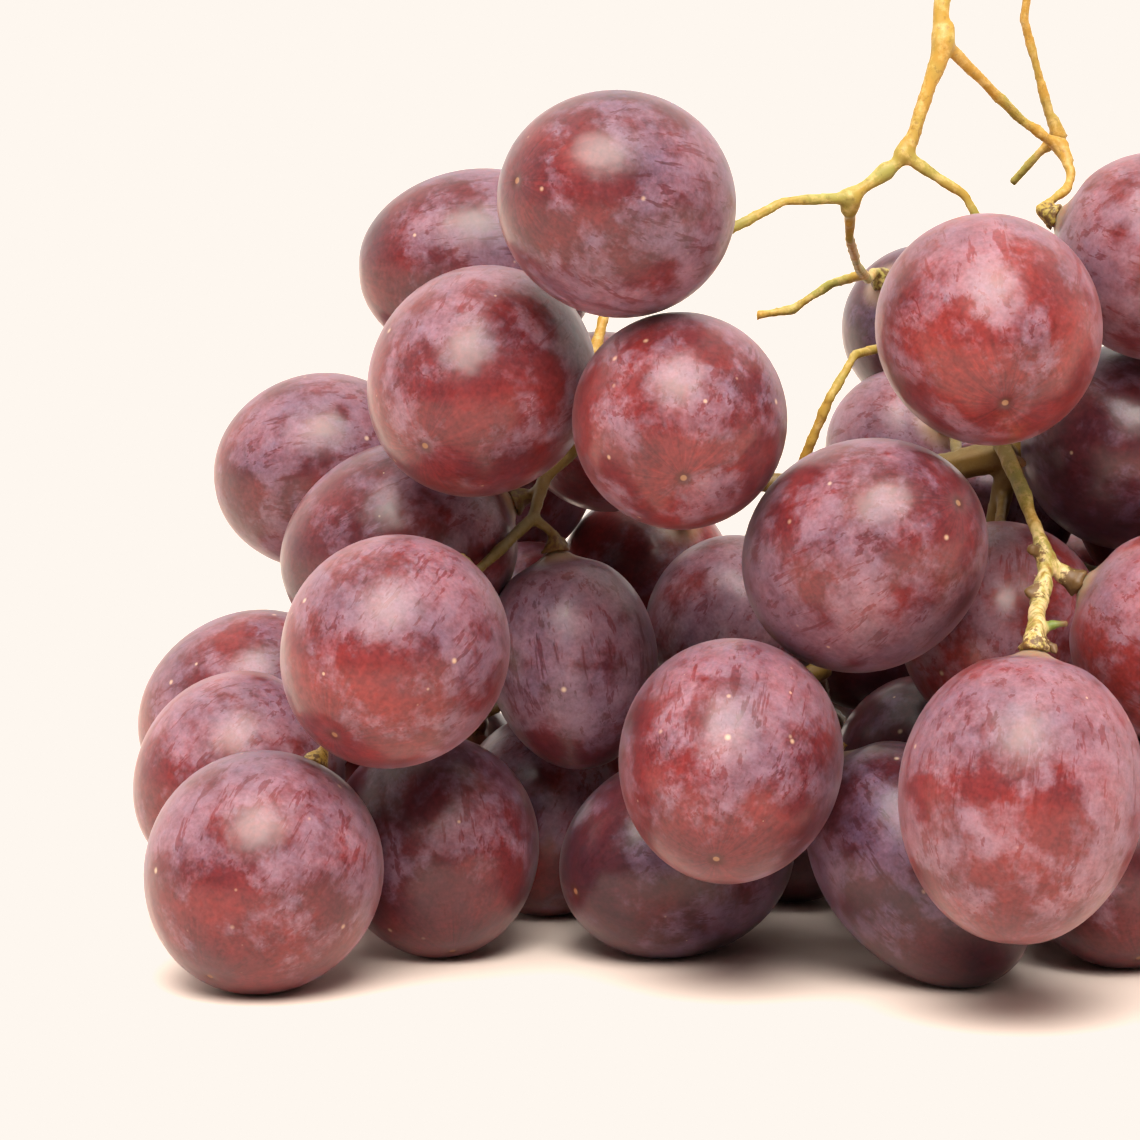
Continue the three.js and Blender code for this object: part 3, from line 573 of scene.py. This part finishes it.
dots = add(tree, "ShaderNodeTexVoronoi", {"Vector": place, "Scale": 1 / LENTICEL_STEP})
dot_kind = add(tree, "ShaderNodeSeparateColor", {0: dots.outputs["Color"]}).outputs["Red"]
limit = add(tree, "ShaderNodeMapRange", {"Value": own, "To Min": 0.1, "To Max": 0.7}).outputs["Result"]
dot_radius = add(
    tree,
    "ShaderNodeMapRange",
    {"Value": dot_kind, "From Min": limit, "To Min": 0.0, "To Max": LARGEST_LENTICEL / LENTICEL_STEP},
).outputs["Result"]
dot_middle = add(tree, "ShaderNodeMath", {0: dot_radius, 1: 0.2}, operation="MULTIPLY").outputs[0]
dot_mask = add(
    tree,
    "ShaderNodeMapRange",
    {"Value": dots.outputs["Distance"], "From Min": dot_radius, "From Max": dot_middle},
    interpolation_type="SMOOTHSTEP",
).outputs["Result"]
dot_cover = add(tree, "ShaderNodeMath", {0: dot_mask, 1: LENTICEL_COVER}, operation="MULTIPLY").outputs[0]
dotted = add(tree, "ShaderNodeMix", {0: dot_cover, 6: veiled, 7: linear(CORK)}, data_type="RGBA").outputs[2]

print("lenticels up to", 2 * LARGEST_LENTICEL, "mm across, one to a cell of", LENTICEL_STEP, "mm")

# %% [markdown]
# The scar at the tip is a tan dot in a brown ring, where the flower's style dried off. Round the
# stem the skin is paler and tan. Both follow the distances that each point of the mesh keeps.

# %% Scar and stem end
SCAR_BROWN = "#4A2018"
SCAR_TAN = "#9A7050"
STEM_TAN = "#A98C6B"

# Each mark: its end, its colour, the distances in mm where it starts and is full, and its cover.
END_MARKS = [
    (from_tip, SCAR_BROWN, 1.3, 0.45, 0.7),
    (from_tip, SCAR_TAN, 0.42, 0.26, 1.0),
    (from_stem, STEM_TAN, 4.2, 1.6, 0.75),
]
finished = dotted
for distance, colour, start, full, cover in END_MARKS:
    mask = add(
        tree,
        "ShaderNodeMapRange",
        {"Value": distance, "From Min": start, "From Max": full, "To Max": cover},
        interpolation_type="SMOOTHSTEP",
    ).outputs["Result"]
    finished = add(
        tree, "ShaderNodeMix", {0: mask, 6: finished, 7: linear(colour)}, data_type="RGBA"
    ).outputs[2]
print("scar", SCAR_TAN, "in", SCAR_BROWN)

# %% [markdown]
# Last comes the surface. Bare skin is smoother than waxed skin, so the roughness follows the
# bloom. The refraction is that of wet plant tissue. Red light travels furthest in the flesh, a
# few millimetres, and green and blue hardly at all. A little sheen stands for the wax seen at a
# low angle, and a slight unevenness of about 3 mm keeps the shine from looking like glass.

# %% Surface of the skin
BARE_ROUGHNESS, WAXED_ROUGHNESS = 0.28, 0.48
DIMPLE_MM = 2.8
DIMPLE_DEPTH = 0.84 * MM
LIGHT_REACH = 4.0 * MM
REACH_BY_COLOUR = (1.0, 0.18, 0.11)  # red, green and blue
WAX_SHEEN = "#F3E4EA"

roughness = add(
    tree, "ShaderNodeMapRange", {"Value": film, "To Min": BARE_ROUGHNESS, "To Max": WAXED_ROUGHNESS}
).outputs["Result"]
dimples = add(
    tree, "ShaderNodeTexNoise", {"Vector": place, "Scale": 1 / DIMPLE_MM, "Detail": 1.0}
).outputs["Fac"]
bump = add(
    tree, "ShaderNodeBump", {"Strength": 0.16, "Distance": DIMPLE_DEPTH, "Height": dimples}
).outputs[0]
surface = add(
    tree,
    "ShaderNodeBsdfPrincipled",
    {
        "Base Color": finished,
        "Roughness": roughness,
        "IOR": 1.47,
        "Subsurface Weight": 0.6,
        "Subsurface Radius": REACH_BY_COLOUR,
        "Subsurface Scale": LIGHT_REACH,
        "Sheen Weight": 0.07,
        "Sheen Roughness": 0.45,
        "Sheen Tint": linear(WAX_SHEEN),
        "Normal": bump,
    },
)
add(tree, "ShaderNodeOutputMaterial", {"Surface": surface.outputs[0]})
print(skin.name, "has", len(tree.nodes), "nodes")

# %% [markdown]
# ## The grapes themselves
# The grapes of the front were looked at one by one, and the table says what each is like. The
# others draw their values with a seeded generator, a little redder and with less bloom.

# %% Make every grape
# How deep its purple is, how much bloom it kept, how bright its red is.
CHARACTER = {
    1: (0.34, 0.54, 0.25), 2: (0.36, 0.58, 0.20), 3: (0.14, 0.50, 0.45), 4: (0.16, 0.60, 0.50),
    5: (0.24, 0.55, 0.30), 6: (0.34, 0.45, 0.25), 7: (0.18, 0.58, 0.45), 8: (0.42, 0.74, 0.05),
    9: (0.18, 0.50, 0.40), 10: (0.14, 0.54, 0.45), 11: (0.22, 0.56, 0.30), 12: (0.50, 0.34, 0.20),
    13: (0.20, 0.54, 0.40), 14: (0.76, 0.46, 0.05), 15: (0.26, 0.66, 0.35), 16: (0.08, 0.56, 0.80),
    17: (0.14, 0.62, 0.50), 18: (0.76, 0.48, 0.05), 19: (0.08, 0.58, 0.80), 20: (0.12, 0.58, 0.50),
    21: (0.16, 0.42, 0.80), 22: (0.80, 0.36, 0.10), 23: (0.40, 0.30, 0.20), 24: (0.70, 0.14, 0.15),
    25: (0.55, 0.14, 0.30), 26: (0.22, 0.70, 0.20), 27: (0.16, 0.16, 0.80), 28: (0.20, 0.35, 0.60),
    29: (0.40, 0.30, 0.30), 30: (0.84, 0.30, 0.00), 31: (0.22, 0.74, 0.25), 32: (0.50, 0.45, 0.10),
    33: (0.60, 0.25, 0.20),
}
draw = random.Random(11)
for node in grape_nodes:
    number = int(node.split("_")[1])
    drawn = (draw.uniform(0.1, 0.55), draw.uniform(0.15, 0.5), draw.uniform(0.3, 0.9))
    seed = draw.random()
    character = CHARACTER.get(number, drawn)
    measured = measures[node]
    name = f"berry_{number:02d}"
    mesh = grape_mesh(name, measured, number)
    berry = bpy.data.objects.new(name, mesh)
    bpy.context.scene.collection.objects.link(berry)
    values = [*character, seed] * len(mesh.vertices)
    mesh.attributes.new("character", "FLOAT_COLOR", "POINT").data.foreach_set("color", values)
    mesh.materials.append(skin)
    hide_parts(node)
    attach(berry, "root")
print(len(grape_nodes), "grapes of", len(mesh.polygons), "faces each")

# %% [markdown]
# ## The stalk
# The stalk is fresh wood: ochre to straw-coloured, with greener and browner stretches, thicker
# at its forks and ending in a warty disc at each grape. The faceted solid has the right course
# but flat sides and sharp forks. What it lacks is added as short tubes: the swelling of the front
# stem and of the forks, a disc that lost its grape, buds and a dried curl. Each tube is a run of
# places, x, y and z in millimetres, with the radius there.

# %% Twigs, buds and swellings
FRONT_STEM = [
    (8.1, -11.2, 57.0, 1.0), (10.1, -18.7, 51.5, 0.85), (11.4, -23.0, 47.0, 0.95),
    (11.7, -24.4, 45.4, 1.15), (11.2, -26.3, 43.5, 1.1), (10.7, -28.2, 41.8, 0.95),
    (9.9, -32.0, 41.0, 0.9), (9.3, -36.5, 40.0, 1.0), (8.8, -39.6, 38.9, 1.3),
]
FORKS = {
    "top_fork": [
        (2.4, -9.6, 101.8, 0.6), (1.7, -10.2, 99.8, 1.35),
        (1.1, -10.4, 97.4, 0.95), (0.5, -10.6, 95.2, 0.6),
    ],
    "left_fork": [
        (-2.0, -11.1, 89.6, 0.6), (-2.7, -11.2, 87.5, 1.3),
        (-4.3, -11.4, 86.1, 1.15), (-6.0, -11.8, 84.8, 0.7),
    ],
    "left_turn": [
        (-6.6, -11.9, 84.4, 0.7), (-8.2, -12.2, 83.4, 1.3),
        (-8.4, -11.4, 81.6, 0.95), (-8.2, -9.6, 80.0, 0.5),
    ],
    "right_knot": [(12.6, -2.2, 90.6, 0.5), (15.3, -1.2, 88.6, 1.15), (16.2, -2.6, 86.6, 0.6)],
    "back_knot": [(15.5, 5.6, 91.6, 0.5), (16.1, 5.8, 89.6, 1.1), (14.6, 6.8, 87.8, 0.5)],
}
TWIGS = {
    "side_disc": [(12.4, -24.4, 44.9, 0.9), (13.8, -24.4, 43.8, 1.05), (15.3, -24.6, 42.8, 1.2)],
    "bud_left": [(11.1, -24.6, 46.2, 0.75), (9.7, -25.4, 46.9, 0.55)],
    "bud_left_low": [(10.4, -27.4, 42.8, 0.7), (9.2, -28.6, 42.6, 0.5)],
    "bud_top": [(9.1, -11.9, 54.6, 0.8), (10.7, -12.6, 54.7, 0.55)],
    "curl": [(9.7, -37.8, 39.0, 0.6), (10.8, -38.5, 38.3, 0.45), (11.1, -39.1, 37.6, 0.4)],
    "young_bud": [(9.5, -36.5, 39.9, 0.4), (10.9, -37.0, 40.3, 0.5), (12.5, -37.0, 40.6, 0.35)],
}


def tube(builder, run, sides=10):
    """Adds a closed tube through places that each have a radius, all in millimetres."""
    rings = []
    for index, (x, y, z, radius) in enumerate(run):
        here = Vector((x, y, z))
        before, after = run[max(0, index - 1)], run[min(len(run) - 1, index + 1)]
        along = (Vector(after[:3]) - Vector(before[:3])).normalized()
        side = along.orthogonal().normalized()
        other = along.cross(side)
        ring = []
        for step in range(sides):
            angle = 2 * math.pi * step / sides
            corner = here + radius * (math.cos(angle) * side + math.sin(angle) * other)
            ring.append(builder.verts.new(corner * MM))
        rings.append(ring)
    for lower, upper in zip(rings, rings[1:]):
        for step in range(sides):
            beside = (step + 1) % sides
            builder.faces.new((lower[step], lower[beside], upper[beside], upper[step]))
    builder.faces.new(reversed(rings[0]))
    builder.faces.new(rings[-1])


print(len(FORKS) + len(TWIGS) + 1, "tubes to add to the stalk")

# %% [markdown]
# The tubes only overlap the solid. Joining them by booleans would leave sharp creases, so a
# voxel remesh wraps one even skin round everything, with faces of about a third of a millimetre.
# A finer voxel would show more, but the stalk would pass 200,000 triangles.

# %% One skin for the stalk
VOXEL = 0.37 * MM
WELD = 1e-7

builder = bmesh.new()
builder.from_mesh(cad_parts["stalk"].data)
bmesh.ops.remove_doubles(builder, verts=builder.verts, dist=WELD)
for run in [FRONT_STEM, *FORKS.values(), *TWIGS.values()]:
    tube(builder, run)
wood_mesh = bpy.data.meshes.new("stalk_wood")
builder.to_mesh(wood_mesh)
builder.free()
wood = bpy.data.objects.new("stalk_wood", wood_mesh)
bpy.context.scene.collection.objects.link(wood)
remesh = wood.modifiers.new("even_skin", "REMESH")
remesh.mode = "VOXEL"
remesh.voxel_size = VOXEL
evaluated = wood.evaluated_get(bpy.context.evaluated_depsgraph_get())
even = bpy.data.meshes.new_from_object(evaluated)
wood.modifiers.clear()
wood.data = even
print("stalk of", len(even.vertices), "points")

# %% [markdown]
# Smoothing by plain averaging would thin the wood, so every round that draws the points
# together is followed by one that pushes them back out a little further. The steps of the
# voxels go and the thickness stays.

# %% Smooth the stalk
SMOOTHING_ROUNDS = 7
DRAW_TOGETHER, PUSH_BACK = 0.6, -0.62

count = len(even.vertices)
places = np.empty(count * 3)
even.vertices.foreach_get("co", places)
places = places.reshape(-1, 3)
edges = np.empty(len(even.edges) * 2, dtype=np.int64)
even.edges.foreach_get("vertices", edges)
edges = edges.reshape(-1, 2)
neighbours = np.bincount(edges.ravel(), minlength=count)[:, None].clip(1)


def towards_neighbours(points):
    """How far each point is from the middle of the points beside it."""
    total = np.zeros_like(points)
    np.add.at(total, edges[:, 0], points[edges[:, 1]])
    np.add.at(total, edges[:, 1], points[edges[:, 0]])
    return total / neighbours - points


for _ in range(SMOOTHING_ROUNDS):
    places += DRAW_TOGETHER * towards_neighbours(places)
    places += PUSH_BACK * towards_neighbours(places)
even.vertices.foreach_set("co", places.ravel())
even.update()
print(SMOOTHING_ROUNDS, "rounds of smoothing")

# %% [markdown]
# Now every point learns where it is: near a grape's disc, at an old bud, on the front stem's
# bark, at the young bud, or low inside the bunch, where shade is painted into the wood as a
# darker colour. These shares run from 0 to 1 and stay with the mesh, so that the material can
# read them. The same shares decide where warts and bark rise. Everything is kept inside the box
# of the solids.

# %% Marks and relief of the stalk
PAD_REACH = 3.4 * MM
TWIG_REACH = 2.6 * MM
FRONT_REACH = 6 * MM
YOUNG_REACH = 1.2 * MM
SHADE_TOP, SHADE_FADE = 64 * MM, 8 * MM
SHADE_FRONT, SHADE_DEPTH = -14 * MM, 5 * MM
RIDGE, WART, BARK = 0.14 * MM, 0.34 * MM, 0.20 * MM
RIDGE_NOISE, WART_NOISE, BARK_NOISE = 420, 1300, 900  # changes per metre
LOWEST = 0.05 * MM

pad_tree = kdtree.KDTree(len(measures))
for index, measured in enumerate(measures.values()):
    pad_tree.insert(measured["middle"] + measured["axis"] * measured["long"] / 2, index)
pad_tree.balance()
brown_places = [Vector(run[-1][:3]) * MM for run in TWIGS.values()]
young_place = Vector(TWIGS["young_bud"][1][:3]) * MM
front_places = [Vector(place[:3]) * MM for place in FRONT_STEM[3:]]
normals = np.empty(count * 3)
even.vertices.foreach_get("normal", normals)
normals = normals.reshape(-1, 3)
pad, brown, straw, young = np.zeros(count), np.zeros(count), np.zeros(count), np.zeros(count)
lifts = np.zeros(count)
for index, (x, y, z) in enumerate(places):
    here = Vector((x, y, z))
    pad[index] = max(0.0, 1 - pad_tree.find(here)[2] / PAD_REACH)
    brown[index] = max(0.0, 1 - min((here - spot).length for spot in brown_places) / TWIG_REACH)
    rough = max(0.0, 1 - min((here - spot).length for spot in front_places) / FRONT_REACH)
    straw[index] = min(1.0, 1.6 * rough)
    young[index] = max(0.0, 1 - (here - young_place).length / YOUNG_REACH)
    wart = max(0.0, noise.noise(here * WART_NOISE))
    lifts[index] = RIDGE * noise.noise(here * RIDGE_NOISE)
    lifts[index] += WART * wart * min(1.0, 2 * pad[index] + brown[index])
    lifts[index] += BARK * rough * noise.noise(here * BARK_NOISE)
places += normals * lifts[:, None]
places[:, 2] = places[:, 2].clip(min=LOWEST)
low, high = np.array(solid_box[0]), np.array(solid_box[1])
places = places.clip(low, high)
even.vertices.foreach_set("co", places.ravel())
# Painted shade: wood low and deep inside the bunch gets a share of a darker colour, except on the front
# stem.
painted_shade = ((SHADE_TOP - places[:, 2]) / SHADE_FADE).clip(0, 1) * (1 - straw)
painted_shade = painted_shade * ((places[:, 1] - SHADE_FRONT) / SHADE_DEPTH).clip(0, 1)
kinds = {"pad": pad, "brown": brown, "straw": straw, "young": young, "painted_shade": painted_shade}
for attribute, values in kinds.items():
    even.attributes.new(attribute, "FLOAT", "POINT").data.foreach_set("value", values)
even.shade_smooth()
even.update()
print({attribute: int((values > 0.5).sum()) for attribute, values in kinds.items()}, "points over a half")

# %% [markdown]
# ## Fresh wood
# The stalk's skin is thin green bark that ripens to ochre. Stretches of about a centimetre are
# greener, where it grew fast, and straw-coloured flecks of about a millimetre lie over both.
# Deep inside the bunch, low down, shade is painted into the wood as a darker olive-brown.

# %% Tones of the bark
OCHRE = "#B98E38"
GREENISH = "#9C9648"
STRAW = "#DDC07C"
# painted shade colour for the wood low inside the bunch
PAINTED_SHADE_OLIVE = "#604A22"
STRETCH_MM = 11
FLECK_MM = 1.1

bark, tree = new_material("fresh_grape_stalk")
local = add(tree, "ShaderNodeTexCoord").outputs["Object"]
in_mm = add(tree, "ShaderNodeVectorMath", {0: local, "Scale": 1 / MM}, operation="SCALE").outputs[0]
broad = add(
    tree, "ShaderNodeTexNoise", {"Vector": in_mm, "Scale": 1 / STRETCH_MM, "Detail": 3.0}
).outputs["Fac"]
ripeness = add(
    tree,
    "ShaderNodeMapRange",
    {"Value": broad, "From Min": 0.42, "From Max": 0.62},
    interpolation_type="SMOOTHSTEP",
).outputs["Result"]
tone = add(
    tree, "ShaderNodeMix", {0: ripeness, 6: linear(OCHRE), 7: linear(GREENISH)}, data_type="RGBA"
).outputs[2]
fine = add(
    tree, "ShaderNodeTexNoise", {"Vector": in_mm, "Scale": 1 / FLECK_MM, "Detail": 4.0, "Roughness": 0.7}
).outputs["Fac"]
pale = add(
    tree, "ShaderNodeMapRange", {"Value": fine, "From Min": 0.48, "From Max": 0.7, "To Max": 0.7}
).outputs["Result"]
tone = add(tree, "ShaderNodeMix", {0: pale, 6: tone, 7: linear(STRAW)}, data_type="RGBA").outputs[2]
# Painted shade: the wood low inside the bunch is darkened towards olive-brown.
shade = add(tree, "ShaderNodeAttribute", attribute_name="painted_shade").outputs["Fac"]
shade = add(tree, "ShaderNodeMath", {0: shade, 1: 0.85}, operation="MULTIPLY").outputs[0]
tone = add(
    tree, "ShaderNodeMix", {0: shade, 6: tone, 7: linear(PAINTED_SHADE_OLIVE)}, data_type="RGBA"
).outputs[2]
print("bark from", OCHRE, "to", GREENISH)

# %% [markdown]
# The front stem is older and its bark has split: pale strips with brown between them, drawn out
# upright as the stem hangs. One noise gives both, its high end the strips and its low end the fissures.

# %% Split bark of the front stem
PALE_BARK = "#E8CE98"
FISSURE_BROWN = "#96682E"
STRIP_SCALE = (0.8, 0.8, 0.16)  # changes per millimetre, fewer of them upright

drawn_out = add(tree, "ShaderNodeMapping", {"Vector": in_mm, "Scale": STRIP_SCALE}).outputs[0]
strips = add(
    tree,
    "ShaderNodeTexNoise",
    {"Vector": drawn_out, "Scale": 1.0, "Detail": 4.0, "Roughness": 0.65, "Distortion": 0.4},
).outputs["Fac"]
bare = add(tree, "ShaderNodeAttribute", attribute_name="straw").outputs["Fac"]
for low_end, high_end, strip_colour in ((0.46, 0.58, PALE_BARK), (0.44, 0.36, FISSURE_BROWN)):
    strip = add(
        tree,
        "ShaderNodeMapRange",
        {"Value": strips, "From Min": low_end, "From Max": high_end, "To Max": 0.9},
    ).outputs["Result"]
    strip = add(tree, "ShaderNodeMath", {0: strip, 1: bare}, operation="MULTIPLY").outputs[0]
    tone = add(
        tree, "ShaderNodeMix", {0: strip, 6: tone, 7: linear(strip_colour)}, data_type="RGBA"
    ).outputs[2]
print("strips", PALE_BARK, "over", FISSURE_BROWN)

# %% [markdown]
# Discs, knots and old scars are brown, with specks that break up the edge of the brown. The one
# young bud at the front stem is still green.

# %% Knots, discs and the young bud
KNOT_BROWN = "#5C3B20"
YOUNG_GREEN = "#66752A"
SPECK_MM = 0.6
SPECK_PUSH = 0.45

pad_share = add(tree, "ShaderNodeAttribute", attribute_name="pad").outputs["Fac"]
brown_share = add(tree, "ShaderNodeAttribute", attribute_name="brown").outputs["Fac"]
old = add(
    tree, "ShaderNodeMath", {0: brown_share, 1: 1.5, 2: pad_share}, operation="MULTIPLY_ADD"
).outputs[0]
specks = add(
    tree, "ShaderNodeTexNoise", {"Vector": in_mm, "Scale": 1 / SPECK_MM, "Detail": 3.0, "Roughness": 0.6}
).outputs["Fac"]
speck_push = add(
    tree,
    "ShaderNodeMapRange",
    {"Value": specks, "From Min": 0.35, "From Max": 0.65, "To Min": -SPECK_PUSH, "To Max": SPECK_PUSH},
).outputs["Result"]
old = add(tree, "ShaderNodeMath", {0: old, 1: speck_push}, operation="ADD").outputs[0]
old_mask = add(
    tree,
    "ShaderNodeMapRange",
    {"Value": old, "From Min": 0.25, "From Max": 0.75, "To Max": 0.9},
    interpolation_type="SMOOTHSTEP",
).outputs["Result"]
tone = add(
    tree, "ShaderNodeMix", {0: old_mask, 6: tone, 7: linear(KNOT_BROWN)}, data_type="RGBA"
).outputs[2]
fresh = add(tree, "ShaderNodeAttribute", attribute_name="young").outputs["Fac"]
fresh = add(tree, "ShaderNodeMath", {0: fresh, 1: 1.6}, operation="MULTIPLY", use_clamp=True).outputs[0]
tone = add(
    tree, "ShaderNodeMix", {0: fresh, 6: tone, 7: linear(YOUNG_GREEN)}, data_type="RGBA"
).outputs[2]
print("knots", KNOT_BROWN, "and a bud of", YOUNG_GREEN)

# %% [markdown]
# The bark has a low satin shine, lets a little light in, and its flecks stand up slightly. The
# finished piece then takes the place of the solid and rides on the body.

# %% Surface of the stalk, and its place
FLECK_HEIGHT = 0.15 * MM
BARK_LIGHT_REACH = 0.8 * MM

bump = add(
    tree, "ShaderNodeBump", {"Strength": 0.4, "Distance": FLECK_HEIGHT, "Height": fine}
).outputs[0]
surface = add(
    tree,
    "ShaderNodeBsdfPrincipled",
    {
        "Base Color": tone,
        "Roughness": 0.48,
        "IOR": 1.45,
        "Subsurface Weight": 0.15,
        "Subsurface Radius": (1.0, 0.6, 0.25),
        "Subsurface Scale": BARK_LIGHT_REACH,
        "Normal": bump,
    },
)
add(tree, "ShaderNodeOutputMaterial", {"Surface": surface.outputs[0]})
even.materials.clear()
even.materials.append(bark)
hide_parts("stalk")
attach(wood, "root")
print(wood.name, "of", len(even.polygons), "faces, material with", len(tree.nodes), "nodes")

# %% [markdown]
# ## Last: the scene is brought up to date
# The finer pieces may not make the bunch larger than its solids.

# %% Finish
bpy.context.view_layer.update()
